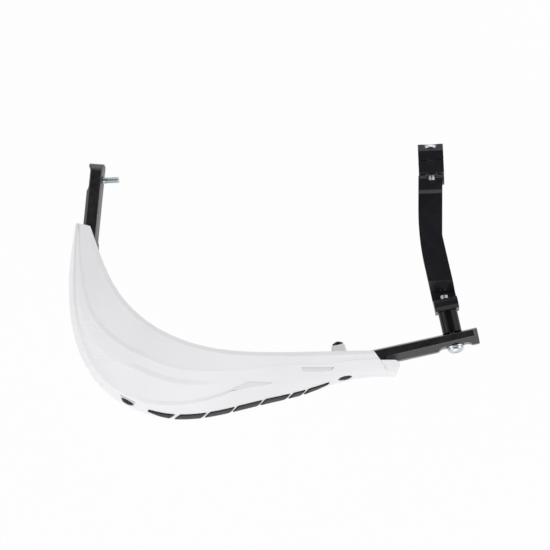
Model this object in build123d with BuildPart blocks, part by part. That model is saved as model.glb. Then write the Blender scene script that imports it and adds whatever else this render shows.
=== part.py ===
"""Motorcycle hand guard for the right side: guard bar, moulded shield and handlebar clamp arm.

Millimetres. The origin is the middle of the handlebar clamp's bore. X runs along the handlebar towards
the middle of the bike, Y towards the rider and Z up. The guard bar lies in the XY plane.
"""
import os
from math import cos, hypot, radians, sin, sqrt

from build123d import *

# Handlebar clamp
handlebar_diameter = 22.2
clamp_width = 22
clamp_wall = 6
clamp_slot = 0.8
clamp_bolt_inset = 6.9
ear_margin = 7
ear_front = 11
ear_rear = 11.5
ear_recess = 13.6
nut_pocket = 3
cap_crest, cap_brow, cap_flat = 8.5, 3.6, 22
cap_shoulder = 2

# Guard bar: leg at the handlebar's end, bend behind the shield, run and inner end
leg_x = -297.4
leg_splay = 7
leg_overhang = 14.5
leg_bend_y = -62
leg_bend_angle = 19
leg_bend_radius = 55
corner_radius = 70
run_angle = 2
end_bend_x = -78
end_bend_radius = 100
end_angle = 10
end_overhang = 21.5
bar_thickness = 14
bar_height = 22
bar_edge = 2.5
bar_draft = 2.2
bar_face = 6
bar_groove = 3
groove_depth = 1.5
leg_end_radius = 8
end_bevel = 3.6
end_facet, end_facet_fall = 6.2, 8.5
end_facet_start, end_facet_start_fall = 4.7, 6.2
end_facet_length = 82
bolt_flat = 20
bolt_flat_depth = 2.5
flat_run = 6
leg_flat_depth = 1
leg_flat_end = 52
screw_flat = 12
screw_flat_depth = 1.6
screw_recess = 5
screw_recess_diameter = 12

# Arm joint: bolt centre in the bar, spacer and lug behind it
arm_bolt_x = 13.4
arm_bolt_y = -157.4
spacer_length = 20
spacer_diameter = 17
lug_thickness = 10.5
lug_height = 11.5
lug_chamfer = 3
strap_width = 21.2
strap_shift = -1
strap_bend_x = -3.5
strap_bend_y = -64
strap_inner_bend, strap_outer_bend = 15, 230
neck_height = 28
strap_root = 12
strap_root_thickness = 17
strap_shoulder = 3
strap_thickness = 13
strap_tip_rise = 3.5
strap_tip_drop = 5.3
strap_drop = 16.5
strap_land = 7
strap_heel = 30.5
lug_lip = 4

# Fasteners: metric threads, with button heads, flange heads and nuts
m5, m6, m8 = 5, 6, 8
hole_clearance = 0.4
thread_clearance = 0.1
shank_relief = 0.65
dome_taper = 36
m5_head, m5_head_height, m5_socket = 11, 3, 3
m6_head, m6_head_height, m6_socket = 10.5, 3.3, 4
m8_head, m8_head_height, m8_socket = 14, 4.4, 5
flange_head, flange_height = 13, 3.2
socket_depth = 2
m5_nut, m5_nut_height = 8, 2.7
m6_nut, m6_nut_height = 10, 5
washer_diameter = 16
washer_thickness = 1.6
bolt_tip = 4
screw_tip = 1
clamp_bolt_tip = 3.8
stub_gap = 1.5
stub_length = 12.5

# Shield: rim and nose lines from the outer tip to the inner end, with Y measured from the arm bolt, and
# facets by corners as (place along the lines, share from rim to nose, depth)
rim_points = [(-302.5, 113.4, 18), (-289.5, 75.9, 34), (-273, 43.9, 46), (-246, 16.9, 52),
              (-202, -3.1, 50), (-148, -9.1, 41), (-86, -8.6, 27), (-57, -8.6, 21)]
nose_points = [(-316, 118.4, 8), (-320, 74.4, 9), (-316.5, 19.9, 9), (-292.5, -25.6, 9),
               (-266, -43.6, 9), (-235.5, -52.6, 9), (-191.5, -50.6, 9), (-154.5, -43.1, 9),
               (-118.5, -36.6, 9), (-87.5, -28.6, 9), (-45.5, -25.6, 9)]
station_count = 37
shield_wall = 2.6
skin_power = 1.35
rim_band = 3.5
rim_roll = 1.4
nose_height = 18.5
hem_depth = 18
facets = [[(0.805, 0.45, 1.1), (0.885, 0.64, 1.1), (0.875, 0.76, 0), (0.81, 0.6, 0)],
          [(0.64, 0.75, 0.7), (0.68, 0.62, 1.5), (0.74, 0.73, 0.4), (0.71, 0.81, 0)]]
wing_x = -30
wing_top, wing_brow, wing_front, wing_foot = (16.6, 14.2), (22.1, 11.7), (27.1, 5), (28.6, -9)
wing_edge = [(-44.6, -33.4), (-32.8, -19.8), (-43.2, -14.4)]
wing_radius = 3.5

# Bumper strip: pads as (place along the nose line, length, share of the height at each end)
pads = [(0.498, 23, 0.3, 0.9), (0.5646, 23, 1, 1), (0.627, 22, 1, 1), (0.688, 22, 1, 1),
        (0.7495, 22, 1, 1), (0.7975, 10.5, 1, 1), (0.841, 18.5, 1, 0.35)]
pad_height = 10
pad_level = 0.66
pad_slant = 6
pad_margin = 0.05
pad_ridge = 0.68
pad_edge_rise, pad_rise, pad_foot_rise = 0.4, 1.7, 1
strip_gap = 0.3
strip_margin = 0.08
strip_thickness = 1.6
strip_lap = 0.031

# Shield fixings
inner_screw_x = -85.6
inner_seat = 11.2
outer_screw_bearing = 240.3
outer_seat = 33.4
boss_width = 14
head_recess = 12.4
clip_width = 15
clip_height = 16
clip_chamfer = 2
clip_depth = 9.5
clip_taper = 8

os.makedirs("parts", exist_ok=True)


def along(t, *keys):
    """Value at t on straight lines drawn through (t, value) keys."""
    for (t0, v0), (t1, v1) in zip(keys, keys[1:]):
        if t <= t1:
            return v0 + (v1 - v0) * (t - t0) / (t1 - t0)
    return keys[-1][1]


def heading(angle):
    """Unit vector in plan at an angle from +X."""
    return Vector(cos(radians(angle)), sin(radians(angle)))


def meeting(start, direction, other, other_direction):
    """Plan point where two lines cross."""
    gap = other - start
    cross = direction.X * other_direction.Y - direction.Y * other_direction.X
    return start + direction * ((gap.X * other_direction.Y - gap.Y * other_direction.X) / cross)


def keep(builder, label):
    """Labels a finished piece and writes its STEP file."""
    builder.part.label = label
    export_step(builder.part, f"parts/{label}.step")


def button_screw(seat, shank, length, head, rise, socket):
    """Adds a button-head screw: shank back from its seat plane, domed head and hexagon socket."""
    with BuildSketch(seat) as shank_end:
        Circle(shank / 2)
    extrude(shank_end.sketch, amount=-length)
    with BuildSketch(seat) as underside:
        Circle(head / 2)
    extrude(underside.sketch, amount=rise, taper=dome_taper)
    with BuildSketch(seat.offset(rise)) as key:
        RegularPolygon(socket / sqrt(3), 6)
    extrude(key.sketch, amount=-socket_depth, mode=Mode.SUBTRACT)


def nut(seat, thread, across, height):
    """Adds a hexagon nut standing on its seat plane."""
    with BuildSketch(seat) as outline:
        RegularPolygon(across / sqrt(3), 6)
        Circle((thread + thread_clearance) / 2, mode=Mode.SUBTRACT)
    extrude(outline.sketch, amount=height)


def drill(plane, thread, reach, back=0):
    """Cuts a screw's clearance hole, reach forward of a plane and back behind it."""
    with BuildSketch(plane.offset(-back)) as mouth:
        Circle((thread + hole_clearance) / 2)
    extrude(mouth.sketch, amount=reach + back, mode=Mode.SUBTRACT)


# Bar path in plan
leg_way = heading(270 - leg_splay)
bend_way = heading(270 - leg_splay + leg_bend_angle)
leg_foot = Vector(leg_x, 0)
leg_start = leg_foot - leg_way * (leg_overhang / -leg_way.Y)
leg_bend = leg_foot + leg_way * (leg_bend_y / leg_way.Y)
bolt_point = Vector(arm_bolt_x, arm_bolt_y)
end_way, run_way = heading(end_angle), heading(run_angle)
end_bend = bolt_point + end_way * ((end_bend_x - arm_bolt_x) / end_way.X)
corner = meeting(leg_bend, bend_way, end_bend, run_way)
bar_end = bolt_point + end_way * end_overhang
half_bar, half_height = bar_thickness / 2, bar_height / 2

with BuildLine() as bar_line:
    FilletPolyline(leg_start, leg_bend, corner, end_bend, bar_end,
                   radius=[leg_bend_radius, corner_radius, end_bend_radius])
corner_arc = bar_line.edges().filter_by(GeomType.CIRCLE).sort_by(SortBy.RADIUS)[1]

# Planes of the joints, each on the bar's centre line with Z pointing out of the guard
arm_plane = Plane(bolt_point, x_dir=end_way, z_dir=heading(end_angle - 90))
inner_centre = end_bend + run_way * ((inner_screw_x - end_bend_x) / run_way.X)
inner_plane = Plane(inner_centre, x_dir=end_way, z_dir=heading(end_angle - 90))
outer_way = heading(outer_screw_bearing)
outer_plane = Plane(corner_arc.arc_center + outer_way * corner_radius,
                    x_dir=heading(outer_screw_bearing + 90), z_dir=outer_way)
fixings = {"inner": (inner_plane, inner_seat), "outer": (outer_plane, outer_seat)}
screw_plane = Plane(leg_foot, x_dir=(0, 1, 0), z_dir=(-1, 0, 0))
screw_seat = half_bar - screw_recess


def mill(plane, start, end, depth):
    """Mills a flat across the bar's face on the plan plane's +Y side, with a cutter's curve at each end."""
    floor, clear = half_bar - depth, half_bar + 1
    with BuildSketch(plane) as flat:
        with BuildLine():
            Line((start, floor), (end, floor))
            TangentArc((end, floor), (end + flat_run, clear), tangent=(1, 0))
            Line((end + flat_run, clear), (start - flat_run, clear))
            TangentArc((start, floor), (start - flat_run, clear), tangent=(-1, 0))
        make_face()
    extrude(flat.sketch, amount=bar_height, both=True, mode=Mode.SUBTRACT)


with BuildPart() as guard_bar:
    with BuildSketch(Plane(leg_start, x_dir=heading(360 - leg_splay), z_dir=leg_way)):
        with BuildLine():
            crown, cheek = half_bar - bar_draft, bar_face / 2
            floor, lip = half_bar - groove_depth, bar_groove / 2
            Polyline((crown, half_height), (half_bar, cheek), (half_bar, lip), (floor, lip),
                     (floor, -lip), (half_bar, -lip), (half_bar, -cheek), (crown, -half_height),
                     (bar_edge - half_bar, -half_height), (-half_bar, bar_edge - half_height),
                     (-half_bar, half_height - bar_edge), (bar_edge - half_bar, half_height), close=True)
        make_face()
    sweep(path=bar_line.wires()[0])
    # Rounded outer end of the leg
    with BuildSketch(Plane(leg_start, x_dir=-leg_way, z_dir=heading(-leg_splay))):
        with Locations((0, 0)):
            Rectangle(2 * bar_height, 2 * bar_height)
        with Locations((-bar_height, 0)):
            RectangleRounded(2 * bar_height, bar_height, leg_end_radius, mode=Mode.SUBTRACT)
    extrude(amount=bar_thickness, both=True, mode=Mode.SUBTRACT)
    # Slanted facets of the inner end, above and below
    with BuildSketch(Plane(bar_end, x_dir=end_way, z_dir=heading(end_angle + 90))):
        with Locations((0, half_height), (0, -half_height)):
            Rectangle(sqrt(2) * end_bevel, sqrt(2) * end_bevel, rotation=45)
    extrude(amount=bar_thickness, both=True, mode=Mode.SUBTRACT)
    # Tapered front facets along the inner end
    end_plane = Plane(bar_end, x_dir=heading(end_angle - 90), z_dir=end_way)
    for side in (1, -1):
        for back, inset, fall in ((-1, end_facet, end_facet_fall),
                                  (end_facet_length, end_facet_start, end_facet_start_fall)):
            with BuildSketch(end_plane.offset(-back)):
                with BuildLine():
                    front, top = half_bar + end_facet, side * (half_height + end_facet)
                    low = side * (half_height - fall)
                    Polyline((half_bar - inset, side * half_height), (half_bar, low), (front, low),
                             (front, top), (half_bar - inset, top), close=True)
                make_face()
        loft(ruled=True, mode=Mode.SUBTRACT)
    # Flats milled for the arm bolt, along the leg's inner side and for the bar-end screw
    mill(Plane(bolt_point, x_dir=-end_way), -bolt_flat / 2, bolt_flat / 2, bolt_flat_depth)
    mill(Plane(leg_foot, x_dir=leg_way), -2 * leg_overhang, leg_flat_end, leg_flat_depth)
    mill(Plane(leg_foot, x_dir=-leg_way), -screw_flat / 2, screw_flat / 2, screw_flat_depth)
    drill(arm_plane, m8, bar_thickness, bar_thickness)
    # Holes for the shield's screws and the counterbored hole of the bar-end screw
    for plane, seat in fixings.values():
        drill(plane, m5, bar_thickness, bar_thickness)
    drill(screw_plane, m6, bar_thickness, bar_thickness)
    with BuildSketch(screw_plane.offset(screw_seat)):
        Circle(screw_recess_diameter / 2)
    extrude(amount=bar_thickness, mode=Mode.SUBTRACT)
keep(guard_bar, "guard_bar")

# Shield lines and stations
with BuildLine():
    rim = Spline(*[(x, y + arm_bolt_y, z) for x, y, z in rim_points])
with BuildLine():
    nose = Spline(*[(x, y + arm_bolt_y, z) for x, y, z in nose_points])


def station(t):
    """Upright plane across the shield at t, X out of the nose and Y up, its width and edge heights."""
    top, front = rim @ t, nose @ t
    out = Vector(front.X - top.X, front.Y - top.Y)
    plane = Plane((front.X, front.Y, 0), x_dir=out, z_dir=out.cross(Vector(0, 0, 1)))
    return plane, out.length, top.Z, front.Z


def skin(t, f, sink=0.0):
    """Point of the outer skin in station t, f of the way from rim to nose, sunk square to the skin."""
    _, width, top, low = station(t)
    rest = 1 - f**skin_power
    slope = (top - low) * f ** (skin_power - 1) * rest ** (1 / skin_power - 1)
    length = hypot(slope, width)
    return (width * (f - 1) - sink * slope / length,
            low + (top - low) * rest ** (1 / skin_power) - sink * width / length)


def nose_lean(t):
    """How far the foot of the nose wall stands out past its top."""
    return along(t, (0, 3), (0.1, 5.5), (0.72, 5.5), (0.88, 2.5), (1, 3))


def step(t, lip, run, sink):
    """A crease: its foot sunk below the skin, then its lip up on the skin."""
    return [skin(t, lip, sink), skin(t, lip + run)]


def shell_outline(t):
    """Closed outline of the shield's wall in station t, outer skin first."""
    _, width, top, low = station(t)
    lean, foot = nose_lean(t), low - nose_height
    tuck = along(t, (0, 2), (0.3, 9), (0.7, 9), (1, 3))
    hem = foot - hem_depth * along(t, (0, 0.2), (0.3, 1), (0.65, 1), (1, 0.2))
    upper = step(t, along(t, (0, 0.75), (0.07, 0.72), (0.12, 0.65), (0.22, 0.6), (0.32, 0.47),
                          (0.41, 0.375), (0.5, 0.355), (0.6, 0.315), (0.79, 0.3), (0.87, 0.44), (1, 0.4)),
                 0.05, along(t, (0, 0.8), (0.3, 1.2), (0.55, 0.6), (0.72, 0.4), (1, 0.3)))
    middle = step(t, along(t, (0, 0.82), (0.1, 0.8), (0.3, 0.7), (0.41, 0.565), (0.57, 0.54),
                           (0.68, 0.52), (0.74, 0.62), (0.87, 0.76), (1, 0.66)),
                  0.06, along(t, (0, 0.15), (0.36, 0.15), (0.42, 1), (0.56, 1), (0.62, 0.15)))
    lower = step(t, along(t, (0, 0.91), (0.36, 0.95), (0.47, 0.93), (0.57, 0.85), (0.63, 0.775),
                          (0.68, 0.63), (0.73, 0.72), (0.8, 0.82), (0.87, 0.86), (1, 0.84)),
                 0.04, along(t, (0, 0.5), (0.15, 1.5), (0.5, 1.6), (0.66, 1.2), (0.7, 0.15), (1, 0.15)))
    return [(-width, top - rim_roll), skin(t, rim_band / width), *upper, *middle, *lower,
            (0, low), (lean, foot), (lean - tuck, hem),
            (lean - tuck - shield_wall, hem), (lean - shield_wall, foot), (-shield_wall, low),
            skin(t, 0.8, shield_wall), skin(t, 0.5, shield_wall), skin(t, 0.2, shield_wall),
            (-width, top - rim_roll - shield_wall)]


def pad_plane(place):
    """Plane on the nose wall, X along the nose, Y up the wall and Z out."""
    front, way, lean = nose @ place, nose % place, nose_lean(place)
    out = Vector(way.Y, -way.X)
    middle = front + out * (lean * pad_level) - Vector(0, 0, nose_height * pad_level)
    return Plane(middle, x_dir=way, z_dir=out * nose_height + Vector(0, 0, lean))


def pad_outline(length, left, right):
    """Slanted pad outline, its two ends as shares of the pad's height."""
    half, top = length / 2, pad_height / 2
    return [(pad_slant / 2 - half, top), (pad_slant / 2 + half, top),
            (half + pad_slant * (0.5 - right), top - 2 * top * right),
            (pad_slant * (0.5 - left) - half, top - 2 * top * left)]


def strip_outline(t, edge, *depths):
    """Outline beside the nose wall in station t: front depths from top to foot, then the back's depth."""
    low, lean = station(t)[3], nose_lean(t)
    heights = [edge, pad_ridge, 1 - edge]
    places = list(zip(heights, depths)) + [(1 - edge, depths[3]), (edge, depths[3])]
    return [(lean * height - depth, low - nose_height * height) for height, depth in places]


strip_front = shield_wall + strip_gap
strip_ends = pads[0][0] - strip_lap, pads[-1][0] + strip_lap
strip_stations = [along(index, (0, strip_ends[0]), (10, strip_ends[1])) for index in range(11)]

with BuildPart() as pad_blocks:
    for place, length, left, right in pads:
        with BuildSketch(pad_plane(place)):
            with BuildLine():
                Polyline(*pad_outline(length, left, right), close=True)
            make_face()
        extrude(amount=3 * shield_wall, both=True)

with BuildPart() as shield:
    for index in range(station_count):
        t = index / (station_count - 1)
        with BuildSketch(station(t)[0]):
            with BuildLine():
                Polyline(*shell_outline(t), close=True)
            make_face()
    loft()
    # Sunken facets, each cut flat through its four corners
    for places in facets:
        corners = [station(t)[0].from_local_coords((*skin(t, f, depth), 0)) for t, f, depth in places]
        face = Plane(sum(corners, Vector()) / len(corners), x_dir=corners[1] - corners[0],
                     z_dir=(corners[3] - corners[1]).cross(corners[2] - corners[0]))
        with BuildSketch(face):
            with BuildLine():
                Polyline(*[tuple(face.to_local_coords(corner))[:2] for corner in corners], close=True)
            make_face()
        extrude(amount=3 * shield_wall, mode=Mode.SUBTRACT)
    # Wing beyond the inner end's fold
    fold, _, _, low = station(1)
    with BuildSketch(fold):
        with BuildLine():
            Polyline(skin(1, 0.5), skin(1, 0.8), (0, low), (nose_lean(1), low - nose_height),
                     (nose_lean(1) - shield_wall, low - nose_height), (-shield_wall, low),
                     skin(1, 0.8, shield_wall), skin(1, 0.5, shield_wall), close=True)
        make_face()
    with BuildSketch(Plane((wing_x, arm_bolt_y, 0), x_dir=(0, -1, 0), z_dir=(-1, 0, 0))):
        with BuildLine():
            inner_wing = [(x - shield_wall * back, z - shield_wall * down) for (x, z), back, down in
                          ((wing_foot, 1, 0), (wing_front, 1, 0.5), (wing_brow, 0.5, 1), (wing_top, 0, 1))]
            Polyline(wing_top, wing_brow, wing_front, wing_foot, *inner_wing, close=True)
        make_face()
    loft(ruled=True)
    with BuildSketch():
        with BuildLine():
            front, tip, back = [(x, y + arm_bolt_y) for x, y in wing_edge]
            FilletPolyline(front, tip, back, (wing_x + 1, back[1]), (wing_x + 1, front[1]),
                           radius=[0, wing_radius, 0, 0, 0], close=True)
        make_face()
    extrude(amount=bar_height, both=True, mode=Mode.SUBTRACT)
    # Screw bosses that seat on the bar, and the recess for each screw's head
    for plane, seat in fixings.values():
        with BuildSketch(plane.offset(half_bar - bar_edge)):
            Rectangle(boss_width, boss_width)
        extrude(amount=seat - half_bar + bar_edge)
        with BuildSketch(plane.offset(seat)):
            Circle(head_recess / 2)
        extrude(amount=head_recess, mode=Mode.SUBTRACT)
        drill(plane, m5, 2 * seat)
    add(guard_bar.part, mode=Mode.SUBTRACT)
    add(pad_blocks.part, mode=Mode.SUBTRACT)
keep(shield, "shield")

with BuildPart() as bumper_strip:
    for t in strip_stations:
        with BuildSketch(station(t)[0]):
            with BuildLine():
                Polyline(*strip_outline(t, pad_margin, -pad_edge_rise, -pad_rise, -pad_foot_rise,
                                        strip_front + strip_thickness / 2), close=True)
            make_face()
    loft()
    add(pad_blocks.part, mode=Mode.INTERSECT)
    for t in strip_stations:
        with BuildSketch(station(t)[0]):
            with BuildLine():
                Polyline(*strip_outline(t, strip_margin, strip_front, strip_front, strip_front,
                                        strip_front + strip_thickness), close=True)
            make_face()
    loft()
keep(bumper_strip, "bumper_strip")

# Clip behind the bar and screw through shield, bar and clip at each fixing
nut_seat = half_bar + clip_depth
for name, (plane, seat) in fixings.items():
    with BuildPart() as clip:
        with BuildSketch(plane.offset(bar_edge - half_bar)) as clip_outline:
            Rectangle(clip_width, clip_height)
            chamfer(clip_outline.vertices(), clip_chamfer)
        extrude(amount=-clip_depth - bar_edge, taper=clip_taper)
        add(guard_bar.part, mode=Mode.SUBTRACT)
        drill(plane, m5, 0, 2 * bar_thickness)
    keep(clip, f"{name}_clip")
    with BuildPart() as screw:
        length = seat + nut_seat + m5_nut_height + screw_tip
        button_screw(plane.offset(seat), m5, length, m5_head, m5_head_height, m5_socket)
    keep(screw, f"{name}_shield_screw")

with BuildPart() as shield_nuts:
    for plane, _ in fixings.values():
        nut(plane.offset(-nut_seat - m5_nut_height), m5, m5_nut, m5_nut_height)
keep(shield_nuts, "shield_nuts")

# Bar-end screw: plain shank in the leg, then the threaded stub that enters the handlebar's end
stub_start = (half_bar - leg_flat_depth) / cos(radians(leg_splay)) + stub_gap
with BuildPart() as bar_end_screw:
    button_screw(screw_plane.offset(screw_seat), m6 - shank_relief, screw_seat + stub_start,
                 m6_head, m6_head_height, m6_socket)
    with BuildSketch(screw_plane.offset(-stub_start)):
        Circle(m6 / 2)
    extrude(amount=-stub_length)
keep(bar_end_screw, "bar_end_screw")

# Arm joint, measured back from the bar's centre line
lug_front = half_bar + spacer_length
lug_back = lug_front + lug_thickness
washer_seat = half_bar - bolt_flat_depth
head_seat = washer_seat + washer_thickness

with BuildPart() as arm_spacer:
    with BuildSketch(arm_plane.offset(-half_bar)):
        Circle(spacer_diameter / 2)
        Circle((m8 + hole_clearance) / 2, mode=Mode.SUBTRACT)
    extrude(amount=-spacer_length)
keep(arm_spacer, "arm_spacer")

with BuildPart() as arm_washer:
    with BuildSketch(arm_plane.offset(washer_seat)):
        Circle(washer_diameter / 2)
        Circle((m8 + hole_clearance) / 2, mode=Mode.SUBTRACT)
    extrude(amount=washer_thickness)
keep(arm_washer, "arm_washer")

with BuildPart() as arm_bolt:
    button_screw(arm_plane.offset(head_seat), m8, head_seat + lug_back + bolt_tip,
                 m8_head, m8_head_height, m8_socket)
keep(arm_bolt, "arm_bolt")

# Handlebar clamp and arm
bore_radius = handlebar_diameter / 2
clamp_radius = bore_radius + clamp_wall
clamp_bolt_height = bore_radius + clamp_bolt_inset
ear_top = clamp_bolt_height + ear_margin
bolt_places = [(0, clamp_bolt_height), (0, -clamp_bolt_height)]
nut_face = nut_pocket - ear_front
lug_foot = bolt_point - arm_plane.z_dir * lug_back
neck, elbow = Vector(strap_shift, -bore_radius), Vector(strap_bend_x, strap_bend_y)
strap_ways = [(elbow - neck).normalized(), (lug_foot - elbow).normalized()]


def strap_edge(side):
    """Three plan points of the strap's edge, right for 1 and left for -1."""
    shifts = [Vector(-way.Y, way.X) * (side * strap_width / 2) for way in strap_ways]
    return [neck + shifts[0], meeting(neck + shifts[0], strap_ways[0], lug_foot + shifts[1], strap_ways[1]),
            lug_foot + shifts[1]]


def bolt_plane(place, y, side):
    """Plane square to a clamp bolt, facing the rider for 1 and the front for -1."""
    x, z = place
    return Plane((x, y, z), x_dir=(1, 0, 0), z_dir=(0, side, 0))


def clamp_holes(reach):
    """Cuts the two clamp bolts' holes through the ears, reach on each side of the nuts' seat."""
    for place in bolt_places:
        drill(bolt_plane(place, nut_face, -1), m6, reach, reach)


with BuildPart() as clamp_arm:
    with BuildSketch(Plane.XY.offset(-lug_height)):
        with BuildLine():
            bends = [0, strap_inner_bend, 0, 0, strap_outer_bend, 0]
            FilletPolyline(*strap_edge(1), *reversed(strap_edge(-1)), radius=bends, close=True)
        make_face()
    extrude(amount=2 * lug_height)
    # Side view of the strap: deep at the clamp, thin along its length, dropping to the lug's foot
    with BuildSketch(Plane.YZ):
        with BuildLine():
            root, lug = -bore_radius - strap_root, lug_foot.Y
            Polyline((0, neck_height / 2), (root, strap_root_thickness / 2),
                     (root - strap_shoulder, strap_thickness / 2), (lug + strap_drop, strap_tip_rise),
                     (lug + strap_land, -strap_tip_drop), (lug - lug_lip, -strap_tip_drop),
                     (lug - lug_lip, -lug_height), (lug + lug_lip, -lug_height),
                     (lug + strap_heel, -strap_tip_drop), (root - strap_shoulder, -strap_thickness / 2),
                     (0, -neck_height / 2), close=True)
        make_face()
    extrude(amount=2 * clamp_width, both=True, mode=Mode.INTERSECT)
    with BuildSketch(arm_plane.offset(-lug_front)):
        Rectangle(strap_width, 2 * lug_height)
    extrude(amount=-lug_thickness)
    chamfer(clamp_arm.edges().filter_by(Axis(bolt_point, end_way)).sort_by(Axis.Z)[-2:], lug_chamfer)
    # Front half of the clamp with its two ears
    with BuildSketch(Plane.YZ):
        Circle(clamp_radius)
        with Locations((-ear_front / 2, 0)):
            Rectangle(ear_front, 2 * ear_top)
        with Locations((clamp_radius, 0)):
            Rectangle(2 * clamp_radius + clamp_slot, 4 * ear_top, mode=Mode.SUBTRACT)
    extrude(amount=clamp_width / 2, both=True)
    with BuildSketch(Plane.YZ):
        Circle(bore_radius)
    extrude(amount=clamp_width, both=True, mode=Mode.SUBTRACT)
    for place in bolt_places:
        with BuildSketch(bolt_plane(place, nut_face, -1)):
            RegularPolygon((m6_nut + hole_clearance) / sqrt(3), 6)
        extrude(amount=ear_front, mode=Mode.SUBTRACT)
    clamp_holes(2 * ear_front)
    with BuildSketch(arm_plane.offset(-lug_front)):
        Circle((m8 + thread_clearance) / 2)
    extrude(amount=-2 * lug_thickness, mode=Mode.SUBTRACT)
keep(clamp_arm, "clamp_arm")

with BuildPart() as clamp_cap:
    with BuildSketch(Plane.YZ):
        with BuildLine():
            back = [(clamp_slot / 2, ear_top), (cap_crest, ear_top),
                    (clamp_radius - cap_shoulder, ear_top - cap_brow), (clamp_radius, cap_flat / 2)]
            Polyline(*back, *[(y, -z) for y, z in reversed(back)], close=True)
        make_face()
        Circle(bore_radius, mode=Mode.SUBTRACT)
    extrude(amount=clamp_width / 2, both=True)
    for place in bolt_places:
        with BuildSketch(bolt_plane(place, ear_rear, 1)):
            Circle(ear_recess / 2)
        extrude(amount=clamp_radius, mode=Mode.SUBTRACT)
    clamp_holes(2 * (ear_front + ear_rear))
keep(clamp_cap, "clamp_cap")

with BuildPart() as clamp_bolts:
    length = ear_rear - nut_face + m6_nut_height + clamp_bolt_tip
    for place in bolt_places:
        button_screw(bolt_plane(place, ear_rear, 1), m6, length, flange_head, flange_height, m6_socket)
keep(clamp_bolts, "clamp_bolts")

with BuildPart() as clamp_nuts:
    for place in bolt_places:
        nut(bolt_plane(place, nut_face, -1), m6, m6_nut, m6_nut_height)
keep(clamp_nuts, "clamp_nuts")
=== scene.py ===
"""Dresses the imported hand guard: moulded shield, coated bar and clamp, plated fasteners, plain studio."""

import logging
import math
from dataclasses import KW_ONLY, dataclass
from enum import Enum
from typing import ClassVar

import bmesh
import bpy
import numpy as np
from mathutils import Matrix, Vector
from mathutils.bvhtree import BVHTree


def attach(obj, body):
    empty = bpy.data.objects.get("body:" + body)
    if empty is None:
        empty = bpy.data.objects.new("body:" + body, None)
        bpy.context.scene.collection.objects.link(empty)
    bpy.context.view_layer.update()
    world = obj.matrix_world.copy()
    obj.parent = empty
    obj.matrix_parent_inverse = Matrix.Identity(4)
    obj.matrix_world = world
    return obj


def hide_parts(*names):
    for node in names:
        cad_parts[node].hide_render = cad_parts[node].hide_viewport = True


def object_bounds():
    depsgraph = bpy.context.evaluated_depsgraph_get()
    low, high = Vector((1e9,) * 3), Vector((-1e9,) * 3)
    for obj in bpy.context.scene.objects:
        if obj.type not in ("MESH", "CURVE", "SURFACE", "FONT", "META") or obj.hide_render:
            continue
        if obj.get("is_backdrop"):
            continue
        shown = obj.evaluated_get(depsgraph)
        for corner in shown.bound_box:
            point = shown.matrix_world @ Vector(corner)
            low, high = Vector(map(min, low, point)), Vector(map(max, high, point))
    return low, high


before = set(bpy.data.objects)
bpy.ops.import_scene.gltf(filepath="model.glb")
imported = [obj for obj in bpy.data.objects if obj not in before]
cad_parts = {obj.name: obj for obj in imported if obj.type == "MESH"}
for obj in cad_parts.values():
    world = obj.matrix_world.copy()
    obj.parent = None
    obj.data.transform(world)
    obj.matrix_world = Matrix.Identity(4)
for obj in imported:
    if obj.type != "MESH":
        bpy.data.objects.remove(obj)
log = logging.getLogger("hand_guard")

MM = 0.001
BODY = "root"
# Painted shade: the faces this attribute marks get a darker colour in the shield's material.
FACET_SHADE = "facet"  # the shield's face attribute, 1 on the floors of its sunken facets
HEXAGON = 6
RING = 48  # points of every ring, so that a circle and a hexagon can be joined

Colour = tuple[float, float, float]
Triple = tuple[float, float, float]
Span = tuple[float, float]
Socket = bpy.types.NodeSocket
Form = bmesh.types.BMesh
Loop = list[bmesh.types.BMEdge]


class Slot(Enum):
    """The record's material slots."""

    BAR = "black_bar"
    CLAMP = "black_clamp"
    SHIELD = "shield_plastic"
    BUMPER = "bumper_rubber"
    CLIP = "clip_plastic"
    ZINC = "zinc_steel"
    BLACK = "black_steel"


@dataclass(frozen=True)
class Pattern:
    """A cloudy pattern on a finish.

    Attributes:
        size_mm: Size of its patches.
        detail: How many finer layers it has.
        depth_mm: Its height, where it raises the surface.
        stretch: Scale along each axis, for streaks.
    """

    size_mm: float
    detail: float = 3.0
    depth_mm: float = 0.0
    stretch: Triple = (1.0, 1.0, 1.0)


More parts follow.
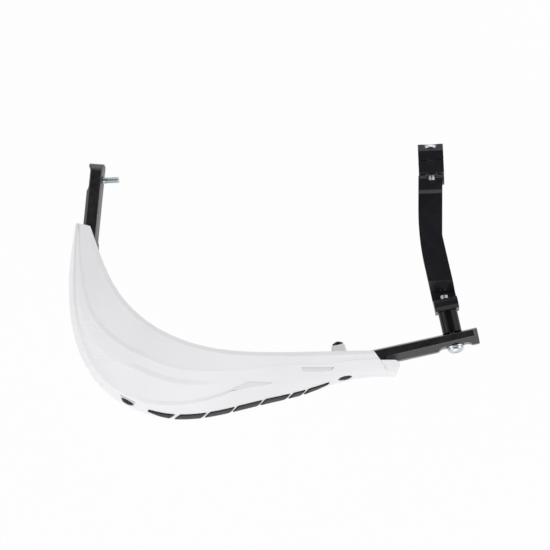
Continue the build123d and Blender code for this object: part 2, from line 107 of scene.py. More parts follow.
class Shader:
    """A principled material under construction, patterned in the piece's own coordinates."""

    MIDDLE: ClassVar[Span] = (0.3, 0.7)  # most of a cloudy pattern's values lie in this range
    RAYS_AROUND: ClassVar[int] = 8  # rays that look for near walls round a point

    def __init__(self, name: str, roughness: float, metallic: float = 0.0) -> None:
        """Starts a material.

        Args:
            name: The material's name.
            roughness: Its plain roughness, where no pattern drives it.
            metallic: 1 for bare metal.
        """
        self.material = bpy.data.materials.new(name)
        self.material.use_nodes = True
        self.tree = self.material.node_tree
        self.surface = self.tree.nodes["Principled BSDF"]
        self.surface.inputs["Roughness"].default_value = roughness
        self.surface.inputs["Metallic"].default_value = metallic
        self.place = self.node("ShaderNodeTexCoord").outputs["Object"]

    def node(self, kind: str, **settings: object) -> bpy.types.Node:
        """Adds a node.

        Args:
            kind: The node's type name.
            settings: Its own properties.

        Returns:
            The new node.
        """
        made = self.tree.nodes.new(kind)
        for key, value in settings.items():
            setattr(made, key, value)
        return made

    def join(self, source: Socket, target: Socket) -> None:
        """Links two sockets."""
        self.tree.links.new(source, target)

    def combine(self, operation: str, first: Socket, second: Socket) -> Socket:
        """Joins two values into one.

        Args:
            operation: The math node's operation.
            first: One value.
            second: The other value.

        Returns:
            The result.
        """
        made = self.node("ShaderNodeMath", operation=operation)
        self.join(first, made.inputs[0])
        self.join(second, made.inputs[1])
        return made.outputs["Value"]

    def noise(self, pattern: Pattern) -> Socket:
        """Adds a cloudy pattern.

        Args:
            pattern: Its size, detail and stretch.

        Returns:
            The pattern's value.
        """
        mapping = self.node("ShaderNodeMapping")
        mapping.inputs["Scale"].default_value = pattern.stretch
        self.join(self.place, mapping.inputs["Vector"])
        clouds = self.node("ShaderNodeTexNoise")
        clouds.inputs["Scale"].default_value = 1 / (pattern.size_mm * MM)
        clouds.inputs["Detail"].default_value = pattern.detail
        self.join(mapping.outputs["Vector"], clouds.inputs["Vector"])
        return clouds.outputs["Fac"]

    def remap(self, value: Socket, reads: Span, gives: Span = (0.0, 1.0)) -> Socket:
        """Maps one range of a value onto another and holds it there.

        Args:
            value: The value.
            reads: The range that is read.
            gives: What its two ends become.

        Returns:
            The mapped value.
        """
        scale = self.node("ShaderNodeMapRange")
        for name, number in zip(("From Min", "From Max", "To Min", "To Max"), (*reads, *gives)):
            scale.inputs[name].default_value = number
        self.join(value, scale.inputs["Value"])
        return scale.outputs["Result"]

    def spread(self, pattern: Pattern, gives: Span = (0.0, 1.0)) -> Socket:
        """Adds a cloudy pattern whose middle range fills a span."""
        return self.remap(self.noise(pattern), self.MIDDLE, gives)

    def paint(self, share: Socket, first: Colour | None, second: Colour | None) -> None:
        """Colours the surface between two colours, where None stands for the colour set so far.

        Args:
            share: 0 for the first colour and 1 for the second.
            first: Colour at 0.
            second: Colour at 1.
        """
        base = self.surface.inputs["Base Color"]
        mix = self.node("ShaderNodeMix", data_type="RGBA")
        for name, colour in (("A", first), ("B", second)):
            if colour:
                mix.inputs[name].default_value = (*colour, 1)
            else:
                self.join(base.links[0].from_socket, mix.inputs[name])
        self.join(share, mix.inputs["Factor"])
        self.join(mix.outputs["Result"], base)

    def paint_corner_shade(self, colour: Colour, reach_mm: float, room: Span) -> None:
        """Paints shade into the bottoms of grooves and inner corners, over the colour set so far.

        Args:
            colour: Colour of the painted shade in the deepest corners.
            reach_mm: How far a wall counts as near.
            room: Share of open space in the deepest corners, and where the painted shade ends.
        """
        # Painted shade: ambient occlusion darkens the colour where walls are near.
        around = self.node("ShaderNodeAmbientOcclusion", samples=self.RAYS_AROUND, only_local=True)
        around.inputs["Distance"].default_value = reach_mm * MM
        self.paint(self.remap(around.outputs["AO"], room), colour, None)

    def recolour(self, attribute: str, colour: Colour) -> None:
        """Gives the faces that an attribute marks another colour, over the colour set so far."""
        mark = self.node("ShaderNodeAttribute", attribute_name=attribute)
        self.paint(mark.outputs["Fac"], None, colour)

    def relief(self, *layers: tuple[Socket, float]) -> None:
        """Raises the surface with one pattern after another.

        Args:
            layers: Each pattern with its depth in millimetres.
        """
        normal = None
        for height, depth_mm in layers:
            bump = self.node("ShaderNodeBump")
            bump.inputs["Strength"].default_value = 1.0
            bump.inputs["Distance"].default_value = depth_mm * MM
            self.join(height, bump.inputs["Height"])
            if normal:
                self.join(normal, bump.inputs["Normal"])
            normal = bump.outputs["Normal"]
        self.join(normal, self.surface.inputs["Normal"])


@dataclass(frozen=True)
class Finish:
    """A finish in two shades, with an uneven sheen and a fine relief.

    Attributes:
        name: The material's name.
        colour: Its main colour.
        shade: The colour of its patches.
        roughness: Its plain roughness.
        gloss: Strength of its reflections, where 0.5 is common plastic.
        metallic: 1 for bare metal.
        patches: The pattern of its two shades.
        sheen: The pattern of its roughness.
        sheen_span: How far that pattern takes the roughness down and up.
        layers: The patterns that raise its surface.
    """

    name: str
    colour: Colour
    shade: Colour
    _: KW_ONLY
    roughness: float
    gloss: float = 0.5
    metallic: float = 0.0
    patches: Pattern
    sheen: Pattern
    sheen_span: Span
    layers: tuple[Pattern, ...]

    def material(self) -> bpy.types.Material:
        """Builds the material.

        Returns:
            The new material.
        """
        shader = Shader(self.name, self.roughness, self.metallic)
        shader.surface.inputs["Specular IOR Level"].default_value = self.gloss
        shader.paint(shader.spread(self.patches), self.colour, self.shade)
        self.paint_shade(shader)
        low, high = self.sheen_span
        rough = shader.spread(self.sheen, (self.roughness + low, self.roughness + high))
        shader.join(rough, shader.surface.inputs["Roughness"])
        shader.relief(*self.heights(shader))
        return shader.material

    def paint_shade(self, shader: Shader) -> None:
        """Adds no painted shade; the two shades stay as they are."""

    def heights(self, shader: Shader) -> list[tuple[Socket, float]]:
        """Adds the patterns that raise the surface, each with its depth in millimetres."""
        return [(shader.noise(layer), layer.depth_mm) for layer in self.layers]


@dataclass(frozen=True)
class Comb:
    """The fine moulded lines across the shield's outer flank.

    Attributes:
        pitch_mm: Distance from line to line.
        depth_mm: Their height.
        fade_x: Where they begin to show along X and where they are full, in metres.
        fade_y: The same along Y.
    """

    pitch_mm: float = 2.1
    depth_mm: float = 0.12
    fade_x: Span = (-0.27, -0.292)
    fade_y: Span = (-0.115, -0.135)

    ONE_A_METRE: ClassVar[float] = math.pi / 10  # the wave texture's scale for one line a metre

    def height(self, shader: Shader) -> Socket:
        """Adds the lines to a material.

        Args:
            shader: The material.

        Returns:
            Their height, fading out away from the flank.
        """
        lines = shader.node("ShaderNodeTexWave", wave_type="BANDS", bands_direction="Y")
        lines.inputs["Scale"].default_value = self.ONE_A_METRE / (self.pitch_mm * MM)
        shader.join(shader.place, lines.inputs["Vector"])
        split = shader.node("ShaderNodeSeparateXYZ")
        shader.join(shader.place, split.inputs["Vector"])
        height = lines.outputs["Fac"]
        for axis, fade in (("X", self.fade_x), ("Y", self.fade_y)):
            height = shader.combine("MULTIPLY", height, shader.remap(split.outputs[axis], fade))
        return height


@dataclass(frozen=True)
class MouldedPlastic(Finish):
    """Injection-moulded plastic with a fine spark-eroded grain and faint flow shading.

    Attributes:
        facet: Colour of the painted shade on the faces that the facet attribute marks.
        crease_shade: Colour of the painted shade in the deepest inner corners.
        shade_reach_mm: How far a wall counts as near there.
        shade_room: Share of open space in the deepest corners, and where the painted shade ends.
        comb: The fine lines of the outer flank, if it has them.
    """

    roughness: float = 0.42
    patches: Pattern = Pattern(60)
    sheen: Pattern = Pattern(9)
    sheen_span: Span = (-0.04, 0.05)
    layers: tuple[Pattern, ...] = (Pattern(0.5, 2, 0.012), Pattern(18, 1, 0.05))
    # Painted shade on the floors of the sunken facets.
    facet: Colour = (0.77, 0.75, 0.78)
    # Painted shade in the inner corners and creases.
    crease_shade: Colour = (0.38, 0.36, 0.4)
    shade_reach_mm: float = 2.5
    shade_room: Span = (0.45, 0.96)
    comb: Comb | None = None

    def paint_shade(self, shader: Shader) -> None:
        """Paints shade on the floors of the sunken facets and into the creases."""
        shader.recolour(FACET_SHADE, self.facet)
        shader.paint_corner_shade(self.crease_shade, self.shade_reach_mm, self.shade_room)

    def heights(self, shader: Shader) -> list[tuple[Socket, float]]:
        """Adds the grain, the flow's waves and, over them, the fine lines.

        Args:
            shader: The material.

        Returns:
            Each pattern with its depth in millimetres.
        """
        layers = super().heights(shader)
        if self.comb:
            layers.append((self.comb.height(shader), self.comb.depth_mm))
        return layers


GRIT = Pattern(0.18, 1, 0.003)


@dataclass(frozen=True)
class BlackCoating(Finish):
    """Satin black coating on aluminium, with rubbed patches and an orange peel over a fine grit."""

    patches: Pattern = Pattern(14, 5)
    sheen: Pattern = Pattern(5, 4)
    sheen_span: Span = (-0.05, 0.08)
    layers: tuple[Pattern, ...] = (Pattern(0.7, 2, 0.01), GRIT)


@dataclass(frozen=True)
class PlatedSteel(Finish):
    """Zinc-plated or blackened steel with fine turning marks and uneven passivation."""

    roughness: float = 0.28
    metallic: float = 1.0
    patches: Pattern = Pattern(2.2, 4)
    sheen: Pattern = Pattern(0.6)
    sheen_span: Span = (-0.06, 0.1)
    layers: tuple[Pattern, ...] = (Pattern(0.25, 2, 0.004, (1, 1, 0.3)),)


@dataclass(frozen=True)
class BumperRubber(Finish):
    """Black rubber with a low gloss and a fine pebbled face."""

    roughness: float = 0.3
    gloss: float = 0.25
    patches: Pattern = Pattern(6, 4)
    sheen: Pattern = Pattern(2)
    sheen_span: Span = (-0.08, 0.08)
    layers: tuple[Pattern, ...] = (Pattern(0.4, 2, 0.012),)


class Coat(Enum):
    """The guard's finishes."""

    SHIELD = MouldedPlastic("white_shield", (0.86, 0.852, 0.863), (0.825, 0.817, 0.828), comb=Comb())
    # Painted light: the clip's white is lighter than the shield's to make up for the shade it sits in, and
    # its painted corner shade is lighter too.
    CLIP = MouldedPlastic("white_clip", (0.9, 0.9, 0.91), (0.87, 0.87, 0.88), crease_shade=(0.7, 0.7, 0.71))
    BAR = BlackCoating("satin_black_bar", (0.004, 0.004, 0.0055), (0.008, 0.008, 0.0095),
                       roughness=0.3, gloss=1.0)
    CASTING = BlackCoating("satin_black_clamp", (0.0085, 0.008, 0.0105), (0.0125, 0.012, 0.0145),
                           roughness=0.32, gloss=0.3, layers=(Pattern(0.5, 2, 0.012), GRIT))
    SPACER = BlackCoating("gloss_black_spacer", (0.003, 0.003, 0.0035), (0.006, 0.006, 0.0065),
                          roughness=0.2, gloss=0.2, layers=(Pattern(0.9, 2, 0.006), GRIT))
    ZINC = PlatedSteel("zinc_plate", (0.7, 0.74, 0.76), (0.55, 0.6, 0.62))
    BLACKENED = PlatedSteel("blackened_steel", (0.02, 0.02, 0.022), (0.035, 0.035, 0.037),
                            roughness=0.38, metallic=0.6)
    RUBBER = BumperRubber("bumper_black", (0.003, 0.003, 0.0035), (0.006, 0.006, 0.0065))


Materials = dict[Coat, bpy.types.Material]


@dataclass(frozen=True)
class Part:
    """A piece that stands for one CAD node.

    Attributes:
        node: The CAD node.
        slot: The record's material slot; not used.
        coat: Its finish.
    """

    node: str
    slot: Slot
    coat: Coat

    def build(self, materials: Materials) -> bpy.types.Object:
        """Builds the piece, each kind in its own way.

        Args:
            materials: The finishes' materials.

        Returns:
            The new object.
        """
        raise NotImplementedError

    def set_up(self, form: Form, ending: str, materials: Materials) -> bpy.types.Object:
        """Turns a finished mesh into a piece that rides on the guard in the node's place.

        Args:
            form: The mesh, in the guard's frame.
            ending: What the piece's name adds to the node's.
            materials: The finishes' materials.

        Returns:
            The new object.
        """
        name = f"{self.node}_{ending}"
        mesh = bpy.data.meshes.new(name)
        form.to_mesh(mesh)
        form.free()
        # The solid's stored normals would override the shading of the rounded edges.
        if "custom_normal" in mesh.attributes:
            mesh.attributes.remove(mesh.attributes["custom_normal"])
        mesh.materials.clear()
        mesh.materials.append(materials[self.coat])
        mesh.polygons.foreach_set("use_smooth", [True] * len(mesh.polygons))
        piece = bpy.data.objects.new(name, mesh)
        bpy.context.scene.collection.objects.link(piece)
        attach(piece, BODY)
        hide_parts(self.node)
        return piece


@dataclass(frozen=True)
class Casting(Part):
    """A rigid piece shown as its CAD solid, joined up and with its edges rounded.

    Attributes:
        edge_mm: Width of the rounded edges.
        edge_deg: Edges sharper than this are rounded.
        edge_steps: Faces across a rounded edge.
        merge_mm: Points closer than this are one.
        flat_deg: Triangles that meet at less than this become one face.
    """

    edge_mm: float
    edge_deg: float = 24.0
    edge_steps: int = 2
    merge_mm: float = 0.002
    flat_deg: float = 0.4

    def build(self, materials: Materials) -> bpy.types.Object:
        """Builds the piece.

        Args:
            materials: The finishes' materials.

        Returns:
            The new object.
        """
        form = bmesh.new()
        form.from_mesh(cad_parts[self.node].data)
        bmesh.ops.remove_doubles(form, verts=form.verts[:], dist=self.merge_mm * MM)
        bmesh.ops.dissolve_limit(form, angle_limit=math.radians(self.flat_deg),
                                 verts=form.verts[:], edges=form.edges[:])
        self.mark(form)
        piece = self.set_up(form, "body", materials)
        piece.data.set_sharp_from_angle(angle=math.radians(self.edge_deg))
        rounding = piece.modifiers.new("rounded_edges", "BEVEL")
        rounding.width = self.edge_mm * MM
        rounding.segments = self.edge_steps
        rounding.limit_method = "ANGLE"
        rounding.angle_limit = math.radians(self.edge_deg)
        rounding.use_clamp_overlap = False
        weighting = piece.modifiers.new("flat_faces", "WEIGHTED_NORMAL")
        weighting.keep_sharp = True
        return piece

    def mark(self, form: Form) -> None:
        """Leaves the faces as they are."""


@dataclass(frozen=True)
class ShieldMoulding(Casting):
    """The shield, with the floors of its two sunken facets marked for painted shade.

    Attributes:
        facets: A point above each facet, as X and Y in metres.
        above: A height over the whole shield, in metres.
    """

    facets: tuple[Span, ...] = ((-0.105, -0.180), (-0.166, -0.193))
    above: float = 1.0

    def mark(self, form: Form) -> None:
        """Marks the face under each facet's point in the attribute that the finish reads for its painted
        shade.

        Args:
            form: The shield's mesh.
        """
        layer = form.faces.layers.float.new(FACET_SHADE)
        form.faces.ensure_lookup_table()
        tree = BVHTree.FromBMesh(form)
        for x, y in self.facets:
            hit = tree.ray_cast(Vector((x, y, self.above)), Vector((0, 0, -1)))[2]
            form.faces[hit][layer] = 1


def node_points(node: str) -> np.ndarray:
    """The places of a CAD node's vertices, each once."""
    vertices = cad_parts[node].data.vertices
    return np.array(sorted({tuple(round(number, 7) for number in vertex.co) for vertex in vertices}))


@dataclass(frozen=True)
class Spindle:
    """The line that a fastener turns on, measured from its CAD solid.

    Attributes:
        seat: Point on the line at the head's underside.
        way: Unit vector from the tip to the head.
        head: Head radius.
        rise: Head height.
        shank: Radius at the tip.
        reach: Length from the seat to the tip.
    """

    seat: Vector
    way: Vector
    head: float
    rise: float
    shank: float
    reach: float

    RIM: ClassVar[float] = 0.98  # points outside this share of the largest radius are on the head's rim
    END: ClassVar[float] = 0.01 * MM  # points this near to the lowest one are on the tip

    @classmethod
    def of(cls, node: str, upper: bool | None = None) -> "Spindle":
        """Measures a screw.

        Args:
            node: The CAD node.
            upper: Which of two solids to take, above or below the handlebar, where the node has two.

        Returns:
            The screw's line and sizes.
        """
        cloud = node_points(node)
        if upper is not None:
            cloud = cloud[(cloud[:, 2] > 0) == upper]
        middle = cloud.mean(axis=0)
        # The points spread furthest along the screw's own line.
        way = np.linalg.eigh(np.cov((cloud - middle).T))[1][:, 2]
        height = (cloud - middle) @ way
        radius = np.linalg.norm(cloud - middle - np.outer(height, way), axis=1)
        rim = radius > cls.RIM * radius.max()
        if height[rim].mean() < 0:
            way, height = -way, -height
        under = height[rim].min()
        low = height.min()
        tip = radius[height < low + cls.END].max()
        seat = middle + way * under
        return cls(Vector(seat), Vector(way), radius.max(), height.max() - under, tip, under - low)

    def matrix(self) -> Matrix:
        """The move from a screw's own axes, seat at the origin and head up +Z, to the guard's frame."""
        turn = self.way.to_track_quat("Z", "Y").to_matrix().to_4x4()
        return Matrix.Translation(self.seat) @ turn


@dataclass(frozen=True)
class Thread:
    """A screw thread's proportions, as shares of its pitch.

    Attributes:
        depth: Height of the ridge over its root.
        flank: Half the ridge's width at its root.
        core: How far the shank is turned down under the ridge.
        lead: Length of the tip's chamfer.
        start: Height of the ridge's start above the tip.
        runout: Length of the cone between the thread and the plain shank.
    """

    depth: float = 0.6
    flank: float = 0.4
    core: float = 0.55
    lead: float = 0.25
    start: float = 0.5
    runout: float = 0.4


class Turning:
    """A round or hexagonal piece built up from rings around +Z."""

    TURN_STEPS: ClassVar[int] = RING // 2  # steps in one turn of a thread

    def __init__(self) -> None:
        """Starts with no ring."""
        self.form = bmesh.new()
        self.last: Loop = []

    def ring(self, radius: float, height: float, sides: int = RING) -> "Turning":
        """Adds a ring and joins it to the one before.

        Args:
            radius: Ring radius, to the corners of a hexagon.
            height: Place along the axis.
            sides: HEXAGON, or RING for a circle.

        Returns:
            This turning.
        """
        before = set(self.form.edges)
        bmesh.ops.create_circle(self.form, segments=sides, radius=radius,
                                matrix=Matrix.Translation((0, 0, height)))
        if sides != RING:
            fresh = [edge for edge in self.form.edges if edge not in before]
            bmesh.ops.subdivide_edges(self.form, edges=fresh, cuts=RING // sides - 1)
        edges = [edge for edge in self.form.edges if edge not in before]
        if self.last:
            bmesh.ops.bridge_loops(self.form, edges=self.last + edges)
        self.last = [edge for edge in edges if edge.is_valid]
        return self

    def cap(self) -> "Turning":
        """Closes the last ring with a flat face."""
        bmesh.ops.contextual_create(self.form, geom=self.last)
        return self

    def wind(self, thread: Thread, radius: float, pitch: float, low: float, high: float) -> None:
        """Winds a thread's ridge around the axis, with both ends closed.

        Args:
            thread: Its proportions.
            radius: Outside radius.
            pitch: Rise of one turn.
            low: Where it starts.
            high: Where it ends.
        """
        turns = (high - low) / pitch
        steps = max(1, round(turns * self.TURN_STEPS))
        root, flank = radius - thread.depth * pitch, thread.flank * pitch
        corners = [self.form.verts.new(place) for place in
                   ((root, 0, low - flank), (radius, 0, low), (root, 0, low + flank))]
        start = self.form.faces.new(corners)
        spun = bmesh.ops.spin(self.form, geom=list(start.edges), cent=(0, 0, 0), axis=(0, 0, 1),
                              steps=steps, dvec=(0, 0, (high - low) / steps), angle=turns * math.tau)
        ends = [item for item in spun["geom_last"] if isinstance(item, bmesh.types.BMEdge)]
        bmesh.ops.contextual_create(self.form, geom=ends)

    def done(self, matrix: Matrix) -> Form:
        """Sets the faces outwards and moves the piece to its place.

        Args:
            matrix: The move to the guard's frame.

        Returns:
            The finished mesh.
        """
        bmesh.ops.recalc_face_normals(self.form, faces=self.form.faces[:])
        bmesh.ops.transform(self.form, matrix=matrix, verts=self.form.verts[:])
        return self.form


@dataclass(frozen=True)
class TurnedPart(Part):
    """A node of one or two turned fasteners."""

    CORNER_DEG: ClassVar[float] = 32.0  # edges sharper than this stay sharp in the shading

    def forms(self) -> list[Form]:
        """Turns the node's fasteners, each kind in its own way."""
        raise NotImplementedError

    def build(self, materials: Materials) -> bpy.types.Object:
        """Builds one piece of the node's fasteners.

        Args:
            materials: The finishes' materials.

        Returns:
            The new object.
        """
        first, *others = self.forms()
        for other in others:
            carrier = bpy.data.meshes.new("carrier")
            other.to_mesh(carrier)
            other.free()
            first.from_mesh(carrier)
            bpy.data.meshes.remove(carrier)
        piece = self.set_up(first, "detail", materials)
        piece.data.set_sharp_from_angle(angle=math.radians(self.CORNER_DEG))
        return piece


@dataclass(frozen=True)
class DomeHead:
    """Proportions of a button head with a hexagon socket.

    Attributes:
        under: Radius at the underside, as a share of the head's.
        rim: Height of the rim, as a share of the head's.
        spring: Height where the dome starts, as a share of the head's.
        dome: Steps of the dome, as shares of a quarter turn.
        brow: Radius of the flat top, in radii of the socket's corners.
        mouth: Radius of the socket's countersink, in the same radii.
        sink: Depth of the countersink, in the same radii.
        floor: Height of the socket's floor at its walls, as a share of the head's.
        pit_radius: Radius of the pit in that floor, in radii of the socket's corners.
        pit_floor: Height of the pit's floor, as a share of the head's.
    """

    under: float = 0.99
    rim: float = 0.08
    spring: float = 0.12
    dome: tuple[float, ...] = (0.12, 0.25, 0.4, 0.55, 0.7, 0.85, 1.0)
    brow: float = 1.25
    mouth: float = 1.1
    sink: float = 0.12
    floor: float = 0.45
    pit_radius: float = 0.2
    pit_floor: float = 0.38

    def turn(self, turning: Turning, line: Spindle, key: float) -> None:
        """Adds the head from its underside to the floor of its socket.

        Args:
            turning: The screw so far, ending in the ring under the head.
            line: The screw's line and sizes.
            key: Radius of the socket's corners.
        """
        wide, rise, brow = line.head, line.rise, self.brow * key
        turning.ring(self.under * wide, 0).ring(wide, self.rim * rise)
        for share in self.dome:
            angle = share * math.pi / 2
            turning.ring(brow + (wide - brow) * math.cos(angle),
                         rise * (self.spring + (1 - self.spring) * math.sin(angle)))
        turning.ring(self.mouth * key, rise).ring(key, rise - self.sink * key, HEXAGON)
        turning.ring(key, self.floor * rise, HEXAGON)
        turning.ring(self.pit_radius * key, self.pit_floor * rise).cap()


@dataclass(frozen=True)
class Fastener(TurnedPart):
    """A screw drawn from its CAD solid, with a socket in its head and a thread.

    Attributes:
        pitch_mm: Thread pitch.
        socket_mm: Width across the hexagon socket's flats.
        threaded_mm: Length of thread from the tip.
        paired: The node has two such screws, above and below the handlebar.
        head: The head's proportions.
        thread: The thread's proportions.
        point: Radius of the tip's flat, as a share of the thread's.
        plain: Radius of the plain shank, as a share of the thread's.
    """

    pitch_mm: float
    socket_mm: float
    threaded_mm: float
    paired: bool = False
    head: DomeHead = DomeHead()
    thread: Thread = Thread()
    point: float = 0.55
    plain: float = 0.98

    def forms(self) -> list[Form]:
        """Turns the node's one or two screws."""
        sides = (True, False) if self.paired else (None,)
        return [self.form(Spindle.of(self.node, upper)) for upper in sides]

    def form(self, line: Spindle) -> Form:
        """Turns one screw from its tip to its socket, then winds its thread.

        Args:
            line: The screw's line and sizes.

        Returns:
            The screw's mesh.
        """
        pitch, tip = self.pitch_mm * MM, -line.reach
        neck = tip + self.threaded_mm * MM
        core, plain = line.shank - self.thread.core * pitch, self.plain * line.shank
        turning = Turning()
        turning.ring(self.point * line.shank, tip).cap()
        turning.ring(core, tip + self.thread.lead * pitch).ring(core, neck)
        turning.ring(plain, neck + self.thread.runout * pitch).ring(plain, 0)
        self.head.turn(turning, line, self.socket_mm * MM / math.sqrt(3))
        turning.wind(self.thread, line.shank, pitch, tip + self.thread.start * pitch, neck)
        return turning.done(line.matrix())


@dataclass(frozen=True)
class HexNut(TurnedPart):
    """A node of hexagon nuts with chamfered corners and a countersunk bore.

    Attributes:
        screws: The screw of each nut, as its node and, where that has two, the upper one or not.
        bore_mm: Radius of the bore.
        chamfer: Height of the chamfer and the countersink, as a share of the corners' radius.
        land: Radius of the flat ends, as a share of half the width across flats.
        near: How near to the screw's line its own nut's points lie, in radii of the screw's head.
        merge_mm: Points closer than this are one, where the bore's last ring meets its first.
    """

    screws: tuple[tuple[str, bool | None], ...]
    bore_mm: float
    chamfer: float = 0.1
    land: float = 0.97
    near: float = 2.0
    merge_mm: float = 0.001

    def forms(self) -> list[Form]:
        """Turns the nut of each screw."""
        return [self.form(Spindle.of(screw, upper)) for screw, upper in self.screws]

    def form(self, line: Spindle) -> Form:
        """Turns one nut, round from its bore and back to it.

        Args:
            line: The line and sizes of the nut's screw.

        Returns:
            The nut's mesh.
        """
        reach = node_points(self.node) - np.array(line.seat)
        height = reach @ np.array(line.way)
        spokes = reach - np.outer(height, line.way)
        radius = np.linalg.norm(spokes, axis=1)
        own = radius < self.near * line.head
        # The nut's furthest point is a corner, which gives its width and its turn.
        corner = np.where(own, radius, 0).argmax()
        low, high, wide = height[own].min(), height[own].max(), radius[corner]
        bore, fall = self.bore_mm * MM, self.chamfer * wide
        land = self.land * wide * math.cos(math.pi / HEXAGON)
        turning = Turning()
        turning.ring(bore, low + fall).ring(bore + fall, low).ring(land, low)
        turning.ring(wide, low + fall, HEXAGON).ring(wide, high - fall, HEXAGON).ring(land, high)
        turning.ring(bore + fall, high).ring(bore, high - fall).ring(bore, low + fall)
        bmesh.ops.remove_doubles(turning.form, verts=turning.form.verts[:], dist=self.merge_mm * MM)
        # A hexagon ring has a corner on +Y.
        side = Vector(spokes[corner]).normalized()
        turn = Matrix((side.cross(line.way), side, line.way)).transposed().to_4x4()
        return turning.done(Matrix.Translation(line.seat) @ turn)


@dataclass(frozen=True)
class Assembly:
    """A group of parts that belong together on the guard.

    Attributes:
        parts: The parts, in the order in which they are built.
    """

    parts: tuple[Part, ...]

    def build(self, materials: Materials) -> list[bpy.types.Object]:
        """Builds every part and puts its finish on it."""
        return [part.build(materials) for part in self.parts]


@dataclass(frozen=True)
class ShieldSet(Assembly):
    """The white shield, its black bumper strip, and the screws, nuts and clips that hold it to the bar."""

    parts: tuple[Part, ...] = (
        ShieldMoulding("shield", Slot.SHIELD, Coat.SHIELD, edge_mm=0.2, edge_deg=12),
        Casting("bumper_strip", Slot.BUMPER, Coat.RUBBER, edge_mm=0.6, edge_deg=20),
        Casting("inner_clip", Slot.CLIP, Coat.CLIP, edge_mm=0.2),
        Casting("outer_clip", Slot.CLIP, Coat.CLIP, edge_mm=0.2),
        HexNut("shield_nuts", Slot.BLACK, Coat.BLACKENED,
               screws=(("inner_shield_screw", None), ("outer_shield_screw", None)), bore_mm=2.55),
        Fastener("inner_shield_screw", Slot.BLACK, Coat.BLACKENED,
                 pitch_mm=0.8, socket_mm=3, threaded_mm=14),
        Fastener("outer_shield_screw", Slot.BLACK, Coat.BLACKENED,
                 pitch_mm=0.8, socket_mm=3, threaded_mm=14),
    )


@dataclass(frozen=True)
class BarSet(Assembly):
    """The guard bar and the screw that holds it to the handlebar's end."""

    parts: tuple[Part, ...] = (
        Casting("guard_bar", Slot.BAR, Coat.BAR, edge_mm=0.25, edge_deg=20),
        Fastener("bar_end_screw", Slot.ZINC, Coat.ZINC, pitch_mm=1.0, socket_mm=4, threaded_mm=12.5),
    )


@dataclass(frozen=True)
class ClampSet(Assembly):
    """The clamp arm with its cap and bolts, and the spacer, washer and bolt that carry the bar on it."""

    parts: tuple[Part, ...] = (
        Casting("clamp_arm", Slot.CLAMP, Coat.CASTING, edge_mm=0.2, edge_deg=20),
        Casting("clamp_cap", Slot.CLAMP, Coat.CASTING, edge_mm=0.25, edge_deg=20),
        Casting("arm_spacer", Slot.CLAMP, Coat.SPACER, edge_mm=0.4),
        Casting("arm_washer", Slot.ZINC, Coat.ZINC, edge_mm=0.25),
        Fastener("arm_bolt", Slot.ZINC, Coat.ZINC, pitch_mm=1.25, socket_mm=5, threaded_mm=22),
        Fastener("clamp_bolts", Slot.ZINC, Coat.ZINC,
                 pitch_mm=1.0, socket_mm=4, threaded_mm=16, paired=True),
        HexNut("clamp_nuts", Slot.BLACK, Coat.BLACKENED,
               screws=(("clamp_bolts", True), ("clamp_bolts", False)), bore_mm=3.05),
    )


@dataclass(frozen=True)
class SoftBox:
    """A square lamp that faces the guard.

    Attributes:
        name: Its name.
        place: Where it hangs, in metres.
        size: Its width in metres.
        power: Its power in watts.
    """

    name: str
    place: Triple
    size: float
    power: float

    def hang(self, target: Vector) -> None:
        """Adds the lamp to the scene.

        Args:
            target: The point that it faces.
        """
        lamp = bpy.data.lights.new(self.name, "AREA")
        lamp.energy = self.power
        lamp.size = self.size
        holder = bpy.data.objects.new(self.name, lamp)
        holder.location = self.place
        holder.rotation_euler = (target - Vector(self.place)).to_track_quat("-Z", "Y").to_euler()
        bpy.context.scene.collection.objects.link(holder)


@dataclass(frozen=True)
class PhotoCamera:
    """The camera that looks down on the guard from the photograph's angle.

    Attributes:
        azimuth: Its bearing round the guard, in degrees.
        elevation: Its height above the horizon, in degrees.
        tilt: Its turn to the side, about the picture's upright axis, in degrees.
        distance: Its distance from the target, in metres.
        lens_mm: Focal length.
        sensor_mm: Width of the sensor.
        far: How far it sees, in metres.
    """

    azimuth: float = -2.5
    elevation: float = 80.0
    tilt: float = 3.0
    distance: float = 2.7
    lens_mm: float = 200.8
    sensor_mm: float = 36.0
    far: float = 50.0

    def set_up(self, target: Vector) -> None:
        """Adds the camera to the scene.

        Args:
            target: The point in the middle of its picture.
        """
        bearing, height = math.radians(self.azimuth), math.radians(self.elevation)
        level = math.cos(height)
        back = Vector((math.sin(bearing) * level, -math.cos(bearing) * level, math.sin(height)))
        right = Vector((math.cos(bearing), math.sin(bearing), 0))
        up = back.cross(right)
        lean = Matrix.Rotation(math.radians(self.tilt), 3, up)
        axes = Matrix((lean @ right, up, lean @ back)).transposed().to_4x4()
        lens = bpy.data.cameras.new("photo_camera")
        lens.lens = self.lens_mm
        lens.sensor_width = self.sensor_mm
        lens.clip_end = self.far
        holder = bpy.data.objects.new("photo_camera", lens)
        holder.matrix_world = Matrix.Translation(target + lean @ back * self.distance) @ axes
        bpy.context.scene.collection.objects.link(holder)
        bpy.context.scene.camera = holder


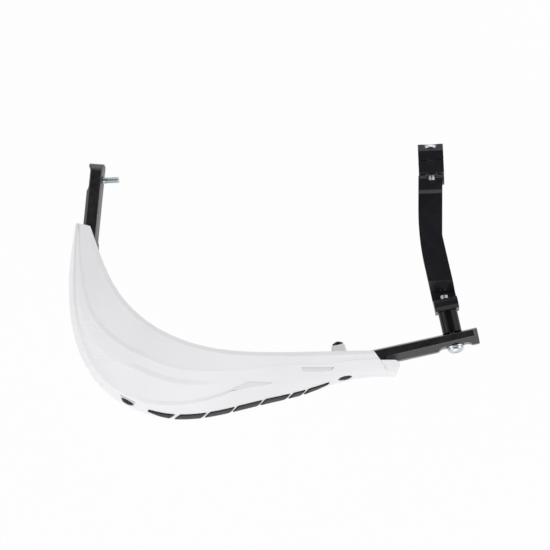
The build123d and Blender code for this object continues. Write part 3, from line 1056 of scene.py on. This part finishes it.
@dataclass(frozen=True)
class Floor:
    """The pale floor, nearly white to the camera and to mirrors, with a little of the guard's shadow left.

    Attributes:
        drop: How far it lies below the guard, in metres.
        size: Its width in metres.
        colour: Its colour to the light.
        roughness: Its roughness.
        white: Share of plain white in what the camera and mirrors see of it.
    """

    drop: float = 0.12
    size: float = 8.0
    colour: Colour = (0.9, 0.9, 0.9)
    roughness: float = 0.9
    white: float = 0.94

    def lay(self, target: Vector, low: float) -> None:
        """Adds the floor to the scene.

        Args:
            target: A point over its middle.
            low: The guard's lowest height.
        """
        middle = Matrix.Translation((target.x, target.y, low - self.drop))
        form = bmesh.new()
        bmesh.ops.create_grid(form, x_segments=2, y_segments=2, size=self.size / 2, matrix=middle)
        mesh = bpy.data.meshes.new("floor")
        form.to_mesh(mesh)
        form.free()
        mesh.materials.append(self.material())
        ground = bpy.data.objects.new("floor", mesh)
        bpy.context.scene.collection.objects.link(ground)
        ground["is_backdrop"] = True

    def material(self) -> bpy.types.Material:
        """Builds the floor's material.

        Returns:
            The new material.
        """
        shader = Shader("pale_floor", self.roughness)
        shader.surface.inputs["Base Color"].default_value = (*self.colour, 1)
        glow = shader.node("ShaderNodeEmission")
        mix = shader.node("ShaderNodeMixShader")
        share = shader.remap(self.seen(shader), (0.0, 1.0), (0.0, self.white))
        shader.join(share, mix.inputs["Fac"])
        shader.join(shader.surface.outputs["BSDF"], mix.inputs[1])
        shader.join(glow.outputs["Emission"], mix.inputs[2])
        shader.join(mix.outputs["Shader"], shader.tree.nodes["Material Output"].inputs["Surface"])
        return shader.material

    def seen(self, shader: Shader) -> Socket:
        """Adds the test of what the camera sees, straight or in a reflection.

        Args:
            shader: The floor's material.

        Returns:
            1 for such rays and 0 for the rest.
        """
        path = shader.node("ShaderNodeLightPath")
        value = path.outputs["Is Camera Ray"]
        for name in ("Is Glossy Ray", "Is Transmission Ray"):
            value = shader.combine("MAXIMUM", value, path.outputs[name])
        return value


@dataclass(frozen=True)
class WhiteRoom:
    """The even light of a white room whose ceiling is dim, so that the black tops mirror a dark one.

    Attributes:
        walls: Colour of the walls.
        ceiling: Colour overhead.
        turn: Heights between which one becomes the other, where 0 is the horizon and 1 is straight up.
    """

    walls: Colour = (0.86, 0.86, 0.87)
    ceiling: Colour = (0.09, 0.087, 0.102)
    turn: Span = (0.74, 0.88)

    def set_up(self) -> None:
        """Makes the room the scene's world."""
        world = bpy.data.worlds.new("white_room")
        world.use_nodes = True
        tree = world.node_tree
        coords = tree.nodes.new("ShaderNodeTexCoord")
        split = tree.nodes.new("ShaderNodeSeparateXYZ")
        ramp = tree.nodes.new("ShaderNodeValToRGB")
        for stop, height, colour in zip(ramp.color_ramp.elements, self.turn, (self.walls, self.ceiling)):
            stop.position = height
            stop.color = (*colour, 1)
        tree.links.new(coords.outputs["Generated"], split.inputs["Vector"])
        tree.links.new(split.outputs["Z"], ramp.inputs["Fac"])
        tree.links.new(ramp.outputs["Color"], tree.nodes["Background"].inputs["Color"])
        bpy.context.scene.world = world


@dataclass(frozen=True)
class Studio:
    """Pale floor, soft light and the camera.

    The lamps hang low, because light from overhead would flatten the shield's creases, and the front one
    is the strongest.

    Attributes:
        target: Point in the middle of the picture, in metres.
        camera: The camera.
        floor: The floor.
        room: The light all round.
        lamps: The soft boxes.
    """

    target: Triple = (-0.1413, -0.0932, 0.0071)
    camera: PhotoCamera = PhotoCamera()
    floor: Floor = Floor()
    room: WhiteRoom = WhiteRoom()
    lamps: tuple[SoftBox, ...] = (
        SoftBox("front_box", (0.0, -2.1, 1.15), size=1.7, power=13.5),
        SoftBox("right_box", (1.9, 0.3, 1.0), size=1.5, power=7),
        SoftBox("left_box", (-2.1, -0.5, 0.9), size=1.5, power=8),
        SoftBox("back_box", (0.4, 2.0, 0.8), size=1.4, power=8),
    )

    def build(self, low: float) -> None:
        """Sets up the whole studio.

        Args:
            low: The guard's lowest height.
        """
        bpy.context.scene.view_settings.view_transform = "Standard"
        target = Vector(self.target)
        self.camera.set_up(target)
        self.floor.lay(target, low)
        self.room.set_up()
        for lamp in self.lamps:
            lamp.hang(target)


def main() -> None:
    """Dresses the guard and lights it."""
    logging.basicConfig(level=logging.INFO, format="%(name)s %(message)s")
    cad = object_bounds()
    materials = {coat: coat.value.material() for coat in Coat}
    for assembly in (ShieldSet(), BarSet(), ClampSet()):
        for piece in assembly.build(materials):
            log.info("%s: %d faces", piece.name, len(piece.data.polygons))
    Studio().build(cad[0].z)


if __name__ == "__main__":
    main()
